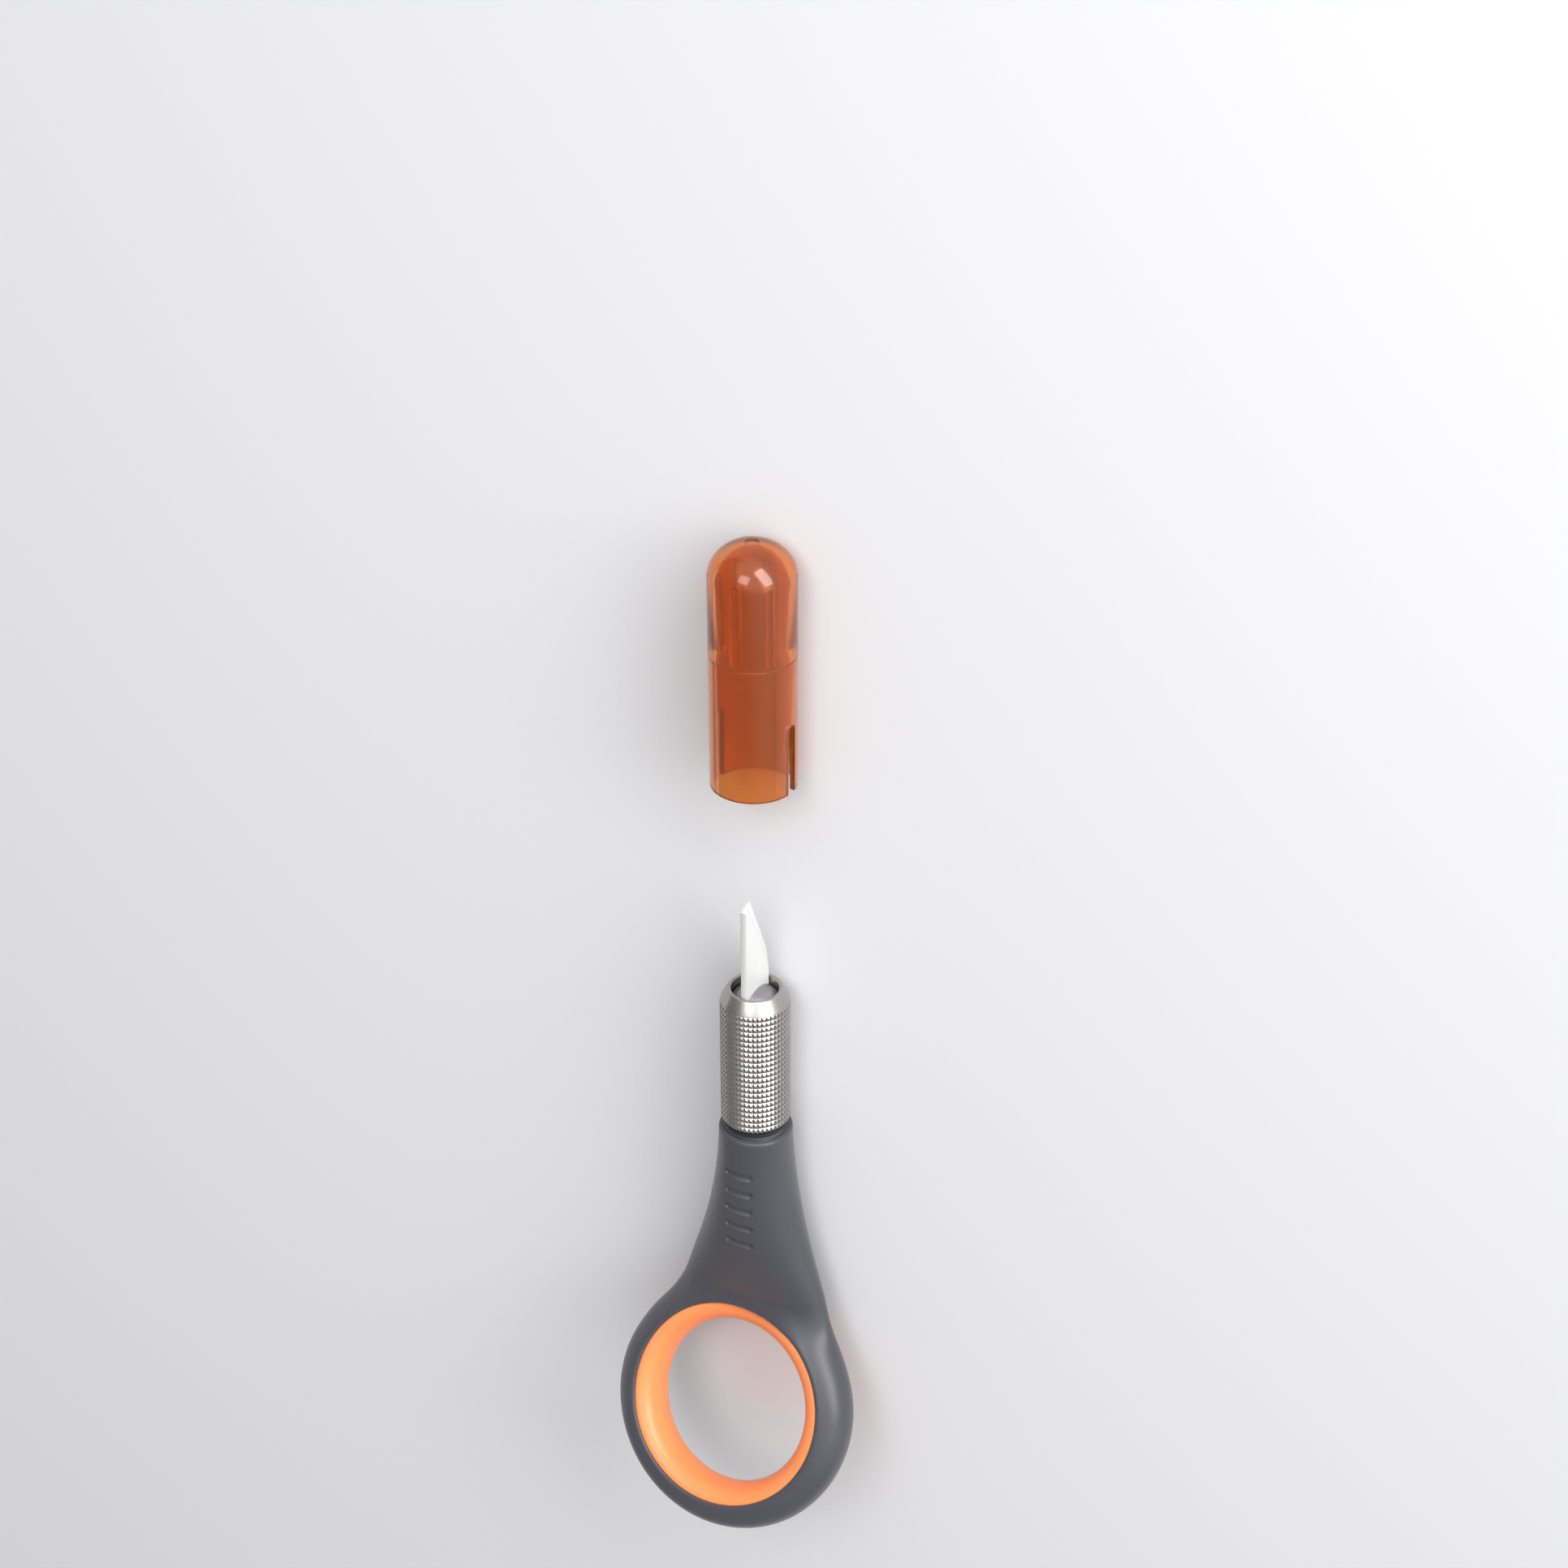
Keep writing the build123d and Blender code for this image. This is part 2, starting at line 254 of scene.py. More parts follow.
def soft_touch_elastomer(colour):
    """Soft-touch TPE: an eggshell skin from a spark-eroded mould, with a broad dull sheen."""
    material, tree, shader, coordinates = start_material("soft_touch_tpe")
    grain = add_node(tree, "ShaderNodeTexNoise",
                     {"Vector": coordinates, "Scale": per_metre(0.22), "Detail": 3, "Roughness": 0.6})
    cloud = add_node(tree, "ShaderNodeTexNoise",
                     {"Vector": coordinates, "Scale": per_metre(9), "Detail": 4, "Roughness": 0.55})
    tint(tree, shader, cloud.outputs["Fac"], colour, 0.10)
    rough = add_node(tree, "ShaderNodeMapRange",
                     {"Value": cloud.outputs["Fac"], "To Min": 0.33, "To Max": 0.42})
    tree.links.new(rough.outputs["Result"], shader.inputs["Roughness"])
    bump = add_node(tree, "ShaderNodeBump",
                    {"Height": grain.outputs["Fac"], "Strength": 0.16, "Distance": 0.02 * MM})
    tree.links.new(bump.outputs["Normal"], shader.inputs["Normal"])
    shader.inputs["IOR"].default_value = 1.47
    shader.inputs["Sheen Weight"].default_value = 0.12
    shader.inputs["Sheen Roughness"].default_value = 0.5
    return material


def liner_elastomer(colour):
    """Glossier TPE of the liner: polished mould, slightly translucent orange."""
    material, tree, shader, coordinates = start_material("orange_tpe")
    cloud = add_node(tree, "ShaderNodeTexNoise",
                     {"Vector": coordinates, "Scale": per_metre(7), "Detail": 3, "Roughness": 0.5})
    grain = add_node(tree, "ShaderNodeTexNoise",
                     {"Vector": coordinates, "Scale": per_metre(0.3), "Detail": 2, "Roughness": 0.5})
    tint(tree, shader, cloud.outputs["Fac"], colour, 0.06)
    bump = add_node(tree, "ShaderNodeBump",
                    {"Height": grain.outputs["Fac"], "Strength": 0.08, "Distance": 0.02 * MM})
    tree.links.new(bump.outputs["Normal"], shader.inputs["Normal"])
    shader.inputs["Roughness"].default_value = 0.36
    shader.inputs["IOR"].default_value = 1.49
    shader.inputs["Subsurface Weight"].default_value = 0.12
    shader.inputs["Subsurface Scale"].default_value = 0.8 * MM
    return material


def turned_metal(name, colour, roughness, line_width, strength):
    """Turned metal: fine lathe lines run round the barrel, so its gloss stretches across them."""
    material, tree, shader, coordinates = start_material(name)
    squash = add_node(tree, "ShaderNodeMapping", {"Vector": coordinates, "Scale": (1, 0.004, 0.004)})
    lines = add_node(tree, "ShaderNodeTexNoise",
                     {"Vector": squash.outputs["Vector"], "Scale": per_metre(line_width), "Detail": 2})
    wear = add_node(tree, "ShaderNodeTexNoise",
                    {"Vector": coordinates, "Scale": per_metre(1.6), "Detail": 5, "Roughness": 0.65})
    tint(tree, shader, wear.outputs["Fac"], colour, 0.08)
    rough = add_node(tree, "ShaderNodeMapRange",
                     {"Value": wear.outputs["Fac"], "To Min": roughness - 0.05, "To Max": roughness + 0.07})
    tree.links.new(rough.outputs["Result"], shader.inputs["Roughness"])
    bump = add_node(tree, "ShaderNodeBump",
                    {"Height": lines.outputs["Fac"], "Strength": strength, "Distance": 0.01 * MM})
    tree.links.new(bump.outputs["Normal"], shader.inputs["Normal"])
    shader.inputs["Metallic"].default_value = 1.0
    return material


def zirconia(name, colour, roughness, line_width, strength):
    """Sintered zirconia: opaque white, lapped to a soft gloss with fine lines slanting to the edge."""
    material, tree, shader, coordinates = start_material(name)
    turn = add_node(tree, "ShaderNodeMapping",
                    {"Vector": coordinates, "Rotation": (0, math.radians(24), 0), "Scale": (1, 0.02, 0.02)})
    lines = add_node(tree, "ShaderNodeTexNoise",
                     {"Vector": turn.outputs["Vector"], "Scale": per_metre(line_width), "Detail": 3})
    cloud = add_node(tree, "ShaderNodeTexNoise",
                     {"Vector": coordinates, "Scale": per_metre(4), "Detail": 3, "Roughness": 0.5})
    tint(tree, shader, cloud.outputs["Fac"], colour, 0.025)
    bump = add_node(tree, "ShaderNodeBump",
                    {"Height": lines.outputs["Fac"], "Strength": strength, "Distance": 0.01 * MM})
    tree.links.new(bump.outputs["Normal"], shader.inputs["Normal"])
    shader.inputs["Roughness"].default_value = roughness
    shader.inputs["IOR"].default_value = 1.9
    shader.inputs["Specular IOR Level"].default_value = 0.35
    return material


def clear_polycarbonate(colour):
    """Injection-moulded polycarbonate, dyed through: glossy outside, its walls deepen the orange."""
    material, tree, shader, coordinates = start_material("clear_orange_polycarbonate")
    flow = add_node(tree, "ShaderNodeTexNoise",
                    {"Vector": coordinates, "Scale": per_metre(5), "Detail": 2, "Roughness": 0.4})
    tint(tree, shader, flow.outputs["Fac"], colour, 0.04)
    bump = add_node(tree, "ShaderNodeBump",
                    {"Height": flow.outputs["Fac"], "Strength": 0.04, "Distance": 0.1 * MM})
    tree.links.new(bump.outputs["Normal"], shader.inputs["Normal"])
    shader.inputs["Roughness"].default_value = 0.1
    shader.inputs["IOR"].default_value = 1.5
    shader.inputs["Transmission Weight"].default_value = 0.9
    return material


def moulded_nylon(name, colour, roughness):
    """Glass-filled nylon straight from the mould: dull, with a faint speckle."""
    material, tree, shader, coordinates = start_material(name)
    speckle = add_node(tree, "ShaderNodeTexNoise",
                       {"Vector": coordinates, "Scale": per_metre(0.4), "Detail": 3, "Roughness": 0.6})
    tint(tree, shader, speckle.outputs["Fac"], colour, 0.12)
    bump = add_node(tree, "ShaderNodeBump",
                    {"Height": speckle.outputs["Fac"], "Strength": 0.2, "Distance": 0.02 * MM})
    tree.links.new(bump.outputs["Normal"], shader.inputs["Normal"])
    shader.inputs["Roughness"].default_value = roughness
    shader.inputs["IOR"].default_value = 1.53
    return material


# ---- meshes ----


def add_piece(name, mesh, material, body, slot, *nodes):
    """Put a finished mesh in the scene, riding on its body in place of the CAD nodes it stands for."""
    piece = bpy.data.objects.new(name, mesh)
    bpy.context.scene.collection.objects.link(piece)
    mesh.materials.clear()
    mesh.materials.append(material)
    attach(piece, body)
    if nodes:
        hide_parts(*nodes)
    return piece


def dress_node(name, material):
    """Give a CAD node that keeps its own shape its finish."""
    mesh = frame["nodes"][name].data
    mesh.materials.clear()
    mesh.materials.append(material)


def mesh_from(name, points, faces):
    """A smooth-shaded mesh from points in millimetres, its doubles merged and its faces turned outwards."""
    mesh = bpy.data.meshes.new(name)
    mesh.from_pydata([tuple(p) for p in np.asarray(points) * MM], [], faces)
    shell = bmesh.new()
    shell.from_mesh(mesh)
    bmesh.ops.remove_doubles(shell, verts=shell.verts, dist=0.0005 * MM)
    bmesh.ops.recalc_face_normals(shell, faces=shell.faces)
    for face in shell.faces:
        face.smooth = True
    shell.to_mesh(mesh)
    shell.free()
    return mesh


def lathe(profile, origin, axis, side, segments):
    """Points and faces of a closed profile of (along, radius) pairs, turned once about an axis."""
    axis, side = np.asarray(axis, float), np.asarray(side, float)
    third = np.cross(axis, side)
    points, faces = [], []
    for step in range(segments):
        angle = 2 * math.pi * step / segments
        outward = math.cos(angle) * side + math.sin(angle) * third
        points += [np.asarray(origin) + along * axis + radius * outward for along, radius in profile]
    count = len(profile)
    for step in range(segments):
        here, there = step * count, (step + 1) % segments * count
        faces += [(here + i, here + (i + 1) % count, there + (i + 1) % count, there + i)
                  for i in range(count)]
    return points, faces


def rounded(corners, radius, steps=4):
    """A closed outline with each corner replaced by a short arc of that radius."""
    outline = []
    corners = [np.asarray(c, float) for c in corners]
    for before, corner, after in zip(corners[-1:] + corners[:-1], corners, corners[1:] + corners[:1]):
        to_before, to_after = before - corner, after - corner
        reach = min(radius, 0.45 * np.linalg.norm(to_before), 0.45 * np.linalg.norm(to_after))
        start = corner + to_before / np.linalg.norm(to_before) * reach
        end = corner + to_after / np.linalg.norm(to_after) * reach
        for step in range(steps + 1):
            t = step / steps
            outline.append((1 - t) ** 2 * start + 2 * t * (1 - t) * corner + t ** 2 * end)
    return outline


# ---- the grip's skin, as the zero level of a distance field ----


def smooth_min(a, b, reach):
    """The lower of two fields, rounded where they come within a reach of each other."""
    blend = np.clip(1 - np.abs(a - b) / reach, 0, 1)
    return np.minimum(a, b) - blend ** 2 * reach / 4


def smooth_max(a, b, reach):
    """The higher of two fields, rounded in the same way."""
    return -smooth_min(-a, -b, reach)


def oval_distance(u, v, half_u, half_v):
    """Near distance to an ellipse, negative inside."""
    scaled = np.hypot(u / half_u, v / half_v)
    slope = np.hypot(u / half_u ** 2, v / half_v ** 2) + 1e-9
    return scaled * (scaled - 1) / slope


def loop_coordinates(points):
    """Distance from the loop's axis and height along it."""
    along = points @ LOOP_FORWARD
    return np.hypot(along, points[:, 1]), points @ LOOP_NORMAL


def neck_section(x):
    """Centre height, half width and half depth of the neck at x."""
    along = np.clip((NECK_END_X - x) / (NECK_END_X - NECK_ROOT_X), 0, 1.05)
    rise = np.clip((NECK_RISE_X - x) / (NECK_RISE_X - NECK_ROOT_X), 0, 1.2) ** 2
    loop_middle = -NECK_ROOT_X * LOOP_NORMAL[0] / LOOP_NORMAL[2]
    half_width = NECK_R + NECK_FLARE * along ** NECK_FLARE_POWER
    half_depth = NECK_R + NECK_SWELL * along - NECK_THIN * along ** 3
    return BARREL_Z + (loop_middle - BARREL_Z) * rise, half_width, half_depth


def grip_field(points, blend):
    """Distance to the grip's outer skin, with the liner's seat cut out.

    Loop and neck run into each other with a wide blend on top and below, and a tighter one at the sides,
    where they already meet at a tangent.
    """
    radius, height = loop_coordinates(points)
    loop = oval_distance(radius - LOOP_MID_R, height, LOOP_R - LOOP_MID_R, LOOP_HALF_H)
    centre, half_width, half_depth = neck_section(points[:, 0])
    neck = oval_distance(points[:, 1], points[:, 2] - centre, half_width, half_depth)
    neck = smooth_max(neck, NECK_ROOT_X - points[:, 0], 1.0)
    side = np.clip(1.25 - (points[:, 1] / (0.7 * LOOP_R)) ** 2, 0.5, 1)
    body = smooth_min(loop, neck, blend * side)
    body = smooth_max(body, points[:, 0] - NECK_END_X, 0.5)
    return smooth_max(body, SEAT_R - radius, 0.35)


def settle_on(field, points, rounds=4):
    """Move points on to a field's zero level along its gradient."""
    step = 0.02
    for _ in range(rounds):
        value = field(points)
        gradient = np.stack([field(points + step * direction) - field(points - step * direction)
                             for direction in np.eye(3)], 1) / (2 * step)
        length = np.maximum(np.sum(gradient ** 2, 1), 0.05)
        points = points - np.clip(value / length, -0.6, 0.6)[:, None] * gradient
    return points


def relax(points, edges, share):
    """Draw each point towards the middle of its neighbours."""
    total = np.zeros_like(points)
    count = np.zeros(len(points))
    for a, b in ((0, 1), (1, 0)):
        np.add.at(total, edges[:, a], points[edges[:, b]])
        np.add.at(count, edges[:, a], 1)
    return points + share * (total / np.maximum(count, 1)[:, None] - points)


def soften_flanks(points, edges, rounds):
    """Even out the skin on the loop's outer flanks, where the neck's thin root runs out into the tube."""
    radius, _ = loop_coordinates(points)
    near_root = np.clip(1.5 * np.exp(-((points[:, 0] - FLANK_X) / FLANK_REACH) ** 2), 0, 1)
    off_middle = np.clip(np.abs(points[:, 1]) / 2 - 4, 0, 1)
    off_seat = np.clip(radius - SEAT_R - 0.7, 0, 1)
    share = near_root * off_middle * off_seat
    for _ in range(rounds):
        points = points + share[:, None] * (relax(points, edges, 0.6) - points)
    return points


def coordinates_of(mesh):
    """A mesh's points, in millimetres."""
    flat = np.empty(len(mesh.vertices) * 3, np.float32)
    mesh.vertices.foreach_get("co", flat)
    return flat.reshape(-1, 3).astype(float) / MM


def put_points(mesh, points):
    """Move a mesh's points to places given in millimetres."""
    mesh.vertices.foreach_set("co", (points * MM).astype(np.float32).ravel())
    mesh.update()


def edges_of(mesh):
    """The pairs of points that a mesh's edges join."""
    flat = np.empty(len(mesh.edges) * 2, np.int32)
    mesh.edges.foreach_get("vertices", flat)
    return flat.reshape(-1, 2)


def evaluated_copy(source):
    """A plain mesh of an object with its modifiers applied; the object is removed."""
    graph = bpy.context.evaluated_depsgraph_get()
    mesh = bpy.data.meshes.new_from_object(source.evaluated_get(graph), depsgraph=graph)
    bpy.data.objects.remove(source)
    return mesh


def rough_grip(detail):
    """Loop and neck as overlapping closed shells, joined by a voxel remesh."""
    turn = [2 * math.pi * i / 48 for i in range(48)]
    oval = [(LOOP_HALF_H * math.sin(t), LOOP_MID_R + (LOOP_R - LOOP_MID_R) * math.cos(t)) for t in turn]
    oval = [(h, max(r, SEAT_R)) for h, r in oval]
    points, faces = lathe(oval, (0, 0, 0), LOOP_NORMAL, LOOP_FORWARD, 160)
    stations = np.linspace(NECK_END_X, NECK_ROOT_X, 24)
    first = len(points)
    for x in stations:
        centre, half_width, half_depth = neck_section(x)
        points += [(x, half_width * math.cos(t), centre + half_depth * math.sin(t)) for t in turn]
    ring = len(turn)
    for row in range(len(stations) - 1):
        here = first + row * ring
        faces += [(here + i, here + (i + 1) % ring, here + ring + (i + 1) % ring, here + ring + i)
                  for i in range(ring)]
    faces.append(tuple(range(first, first + ring)))
    faces.append(tuple(range(len(points) - ring, len(points))))
    shell = bpy.data.objects.new("rough_grip", mesh_from("rough_grip", points, faces))
    bpy.context.scene.collection.objects.link(shell)
    drum_points, drum_faces = lathe([(-14, 0.001), (-14, SEAT_R), (14, SEAT_R), (14, 0.001)],
                                    (0, 0, 0), LOOP_NORMAL, LOOP_FORWARD, 160)
    drum = bpy.data.objects.new("seat_drum", mesh_from("seat_drum", drum_points, drum_faces))
    bpy.context.scene.collection.objects.link(drum)
    cut = shell.modifiers.new("seat", "BOOLEAN")
    cut.operation = "DIFFERENCE"
    cut.use_self = True
    cut.object = drum
    remesh = shell.modifiers.new("skin", "REMESH")
    remesh.mode = "VOXEL"
    remesh.voxel_size = detail
    mesh = evaluated_copy(shell)
    bpy.data.objects.remove(drum)
    return mesh


def bar_mask(points, settings):
    """1 inside the grip bars pressed into the neck's top, 0 outside, with a short slope between."""
    pitch = settings.bar_pitch / MM
    first = BAR_MIDDLE_X - (settings.bars - 1) / 2 * pitch
    bar = np.clip(np.round((points[:, 0] - first) / pitch), 0, settings.bars - 1)
    off_end = np.maximum(np.abs(points[:, 1]) - BAR_STRAIGHT, 0)
    distance = np.hypot(points[:, 0] - first - bar * pitch, off_end) - BAR_HALF_WIDTH
    inside = np.clip(0.5 - distance / BAR_SLOPE, 0, 1)
    return inside * inside * (3 - 2 * inside) * (points[:, 2] > BARREL_Z + 2)


class CRAFTKNIFE_OT_grip(bpy.types.Operator):
    """Build the soft grip: one skin over the loop and the neck, with pressed grip bars"""
    bl_idname = "craftknife.grip"
    bl_label = "Grip"

    def execute(self, context):
        settings = context.scene.craft_knife.grip
        blend = settings.blend / MM
        mesh = rough_grip(settings.detail)
        points = coordinates_of(mesh)

        def field(where):
            return grip_field(where, blend)

        edges = edges_of(mesh)
        for _ in range(3):
            points = settle_on(field, relax(points, edges, 0.5), 3)
        put_points(mesh, points)
        shell = bmesh.new()
        shell.from_mesh(mesh)
        reach = settings.bar_pitch / MM * settings.bars / 2 + 0.4
        near = [edge for edge in shell.edges
                if all(abs(v.co.x / MM - BAR_MIDDLE_X) < reach and abs(v.co.y / MM) < 2.6
                       and v.co.z / MM > BARREL_Z + 2 for v in edge.verts)]
        bmesh.ops.subdivide_edges(shell, edges=near, cuts=2, use_grid_fill=True)
        shell.to_mesh(mesh)
        shell.free()
        points = soften_flanks(settle_on(field, coordinates_of(mesh), 3), edges_of(mesh), 110)
        put_points(mesh, points)
        normals = np.array([v.normal for v in mesh.vertices])
        points -= normals * (bar_mask(points, settings) * settings.bar_depth / MM)[:, None]
        put_points(mesh, points)
        mesh.shade_smooth()
        add_piece("grip", mesh, soft_touch_elastomer(settings.colour), "handle", "soft_grip", "grip_shell")
        dress_node("handle_core", moulded_nylon("black_nylon_core", linear("#2a2b2e"), 0.55))
        return {"FINISHED"}


class CRAFTKNIFE_OT_liner(bpy.types.Operator):
    """Build the convex orange band inside the finger loop"""
    bl_idname = "craftknife.liner"
    bl_label = "Finger ring liner"

    def execute(self, context):
        settings = context.scene.craft_knife.liner
        half = settings.half_height / MM
        edge_r = SEAT_R - 0.12
        swell = [math.pi * i / 40 for i in range(41)]
        profile = [(half * math.cos(t), edge_r - (edge_r - BORE_R) * math.sin(t) ** 0.9) for t in swell]
        profile += [(-half + 0.06, SEAT_R + 0.02), (half - 0.06, SEAT_R + 0.02)]
        points, faces = lathe(profile, (0, 0, 0), LOOP_NORMAL, LOOP_FORWARD, 192)
        add_piece("ring_liner_band", mesh_from("ring_liner_band", points, faces),
                  liner_elastomer(settings.colour), "handle", "liner_rubber", "ring_liner")
        return {"FINISHED"}


def start_tree(name, *sockets):
    """A Geometry Nodes tree with inputs, each given as (name, kind, default), and one geometry output."""
    tree = bpy.data.node_groups.new(name, "GeometryNodeTree")
    for label, kind, default in sockets:
        socket = tree.interface.new_socket(label, in_out="INPUT", socket_type="NodeSocket" + kind)
        socket.default_value = default
    tree.interface.new_socket("Axis Height", in_out="INPUT", socket_type="NodeSocketFloat")
    tree.interface.new_socket("Material", in_out="INPUT", socket_type="NodeSocketMaterial")
    tree.interface.new_socket("Geometry", in_out="OUTPUT", socket_type="NodeSocketGeometry")
    return tree, add_node(tree, "NodeGroupInput").outputs


def stand_round_barrel(tree, given, shape, count, x, radius, angle):
    """End a tree: stand a shape at each place round the barrel, its Z axis pointing outwards."""
    cosine = add_node(tree, "ShaderNodeMath", {0: angle}, operation="COSINE").outputs[0]
    sine = add_node(tree, "ShaderNodeMath", {0: angle}, operation="SINE").outputs[0]
    outward = add_node(tree, "ShaderNodeCombineXYZ", {"Y": cosine, "Z": sine}).outputs[0]
    ring = add_node(tree, "ShaderNodeVectorMath", {0: outward, "Scale": radius}, operation="SCALE")
    centre = add_node(tree, "ShaderNodeCombineXYZ", {"X": x, "Z": given["Axis Height"]})
    place = add_node(tree, "ShaderNodeVectorMath", {0: ring.outputs[0], 1: centre.outputs[0]},
                     operation="ADD").outputs[0]
    spots = add_node(tree, "GeometryNodePoints", {"Count": count, "Position": place})
    facing = add_node(tree, "FunctionNodeAxesToRotation",
                      {"Primary Axis": outward, "Secondary Axis": (1, 0, 0)},
                      primary_axis="Z", secondary_axis="X")
    standing = add_node(tree, "GeometryNodeInstanceOnPoints",
                        {"Points": spots.outputs[0], "Instance": shape, "Rotation": facing.outputs[0]})
    real = add_node(tree, "GeometryNodeRealizeInstances", {"Geometry": standing.outputs[0]})
    dressed = add_node(tree, "GeometryNodeSetMaterial",
                       {"Geometry": real.outputs[0], "Material": given["Material"]})
    add_node(tree, "NodeGroupOutput", {"Geometry": dressed.outputs[0]})
    return tree


def knurl_tree():
    """Geometry Nodes tree: one truncated pyramid on every crossing of rows and columns of a cylinder."""
    tree, given = start_tree(
        "square_knurl", ("Columns", "Int", 48), ("Rows", "Int", 23), ("Root Radius", "Float", 0.0044),
        ("Start", "Float", 0.0457), ("Length", "Float", 0.0188), ("Height", "Float", 0.0002),
        ("Tip", "Float", 0.26))
    columns = given["Columns"]
    index = add_node(tree, "GeometryNodeInputIndex").outputs[0]
    turns = add_node(tree, "ShaderNodeMath", {0: index, 1: columns}, operation="DIVIDE").outputs[0]
    row = add_node(tree, "ShaderNodeMath", {0: turns}, operation="FLOOR").outputs[0]
    column = add_node(tree, "ShaderNodeMath", {0: index, 1: columns}, operation="MODULO").outputs[0]
    row_pitch = add_node(tree, "ShaderNodeMath", {0: given["Length"], 1: given["Rows"]},
                         operation="DIVIDE").outputs[0]
    angle_pitch = add_node(tree, "ShaderNodeMath", {0: 2 * math.pi, 1: columns},
                           operation="DIVIDE").outputs[0]
    angle = add_node(tree, "ShaderNodeMath", {0: column, 1: angle_pitch}, operation="MULTIPLY").outputs[0]
    row_middle = add_node(tree, "ShaderNodeMath", {0: row, 1: 0.5}, operation="ADD").outputs[0]
    x = add_node(tree, "ShaderNodeMath", {0: row_middle, 1: row_pitch, 2: given["Start"]},
                 operation="MULTIPLY_ADD").outputs[0]
    count = add_node(tree, "ShaderNodeMath", {0: given["Rows"], 1: columns},
                     operation="MULTIPLY").outputs[0]

    # A cone with four sides is a pyramid; its feet overlap their neighbours a little, so no gap shows.
    foot_radius = math.sqrt(0.5)
    overlap = 1.02
    top_radius = add_node(tree, "ShaderNodeMath", {0: given["Tip"], 1: foot_radius}, operation="MULTIPLY")
    pyramid = add_node(tree, "GeometryNodeMeshCone",
                       {"Vertices": 4, "Side Segments": 1, "Fill Segments": 1, "Depth": 1.0,
                        "Radius Bottom": foot_radius, "Radius Top": top_radius.outputs[0]},
                       fill_type="NGON")
    squared = add_node(tree, "GeometryNodeTransform",
                       {"Geometry": pyramid.outputs["Mesh"], "Rotation": (0, 0, math.pi / 4)})
    width = add_node(tree, "ShaderNodeMath", {0: given["Root Radius"], 1: angle_pitch},
                     operation="MULTIPLY").outputs[0]
    foot = add_node(tree, "ShaderNodeCombineXYZ", {"X": row_pitch, "Y": width, "Z": given["Height"]})
    spread = add_node(tree, "ShaderNodeVectorMath", {0: foot.outputs[0], 1: (overlap, overlap, 1)},
                      operation="MULTIPLY")
    sized = add_node(tree, "GeometryNodeTransform",
                     {"Geometry": squared.outputs[0], "Scale": spread.outputs[0]})
    return stand_round_barrel(tree, given, sized.outputs[0], count, x, given["Root Radius"], angle)


def nodes_mesh(name, tree, values):
    """Run a Geometry Nodes tree with the given inputs and return its result as a plain mesh."""
    holder = bpy.data.objects.new(name, bpy.data.meshes.new(name))
    bpy.context.scene.collection.objects.link(holder)
    modifier = holder.modifiers.new(name, "NODES")
    modifier.node_group = tree
    for item in tree.interface.items_tree:
        if item.in_out == "INPUT" and item.name in values:
            modifier[item.identifier] = values[item.name]
    return evaluated_copy(holder)


def join_meshes(name, *meshes):
    """One mesh from several, keeping each face's shading."""
    joined = bmesh.new()
    for mesh in meshes:
        joined.from_mesh(mesh)
    result = bpy.data.meshes.new(name)
    joined.to_mesh(result)
    joined.free()
    return result


def collar_body_profile(root):
    """Outline of the collar, as (x, radius) pairs: knurl root, smooth nose cone, rim and stepped bore."""
    base, rim, outer = COLLAR_BASE_X, COLLAR_RIM_X, COLLAR_R
    nose, thread_end = rim - NOSE_LENGTH, base + 12
    return rounded([(base, outer - THREAD_WALL), (base, root - 0.02), (base + 0.12, root), (nose, root),
                    (nose, outer - 0.03), (rim - 0.1, outer - 1.0), (rim, outer - 1.12),
                    (rim, outer - 1.52), (rim - 1.7, outer - 1.57), (rim - 5.2, outer - HEAD_WALL),
                    (thread_end, outer - HEAD_WALL), (thread_end, outer - THREAD_WALL)], 0.14, 4)


class CRAFTKNIFE_OT_collar(bpy.types.Operator):
    """Build the clamp collar: turned nose and bore, square-pyramid knurl"""
    bl_idname = "craftknife.collar"
    bl_label = "Clamp collar"

    def execute(self, context):
        settings = context.scene.craft_knife.collar
        root = COLLAR_R - KNURL_SUNK - settings.knurl_depth / MM
        metal = turned_metal("satin_nickel_steel", settings.colour, 0.32, 0.09, 0.25)
        points, faces = lathe(collar_body_profile(root), (0, 0, BARREL_Z), (1, 0, 0), (0, 1, 0),
                              4 * settings.columns)
        body = mesh_from("collar_body", points, faces)
        start = COLLAR_BASE_X + 0.1
        length = COLLAR_RIM_X - NOSE_LENGTH - start - 0.05
        knurl = nodes_mesh("collar_knurl", knurl_tree(), {
            "Columns": settings.columns, "Rows": settings.rows,
            "Root Radius": root * MM + settings.knurl_depth / 2, "Start": start * MM,
            "Length": length * MM, "Height": settings.knurl_depth, "Axis Height": BARREL_Z * MM,
            "Tip": settings.knurl_tip, "Material": metal})
        add_piece("collar_knurled", join_meshes("collar_knurled", body, knurl), metal,
                  "collar", "collar_steel", "clamp_collar")
        return {"FINISHED"}


def cad_copy(node):
    """The mesh of a CAD node, its loose triangles merged, ready to be finished as a piece."""
    mesh = frame["nodes"][node].data.copy()
    shell = bmesh.new()
    shell.from_mesh(mesh)
    bmesh.ops.remove_doubles(shell, verts=shell.verts, dist=0.002 * MM)
    bmesh.ops.dissolve_limit(shell, angle_limit=math.radians(0.5), verts=shell.verts, edges=shell.edges)
    clean = bpy.data.meshes.new(node)
    shell.to_mesh(clean)
    shell.free()
    bpy.data.meshes.remove(mesh)
    return clean


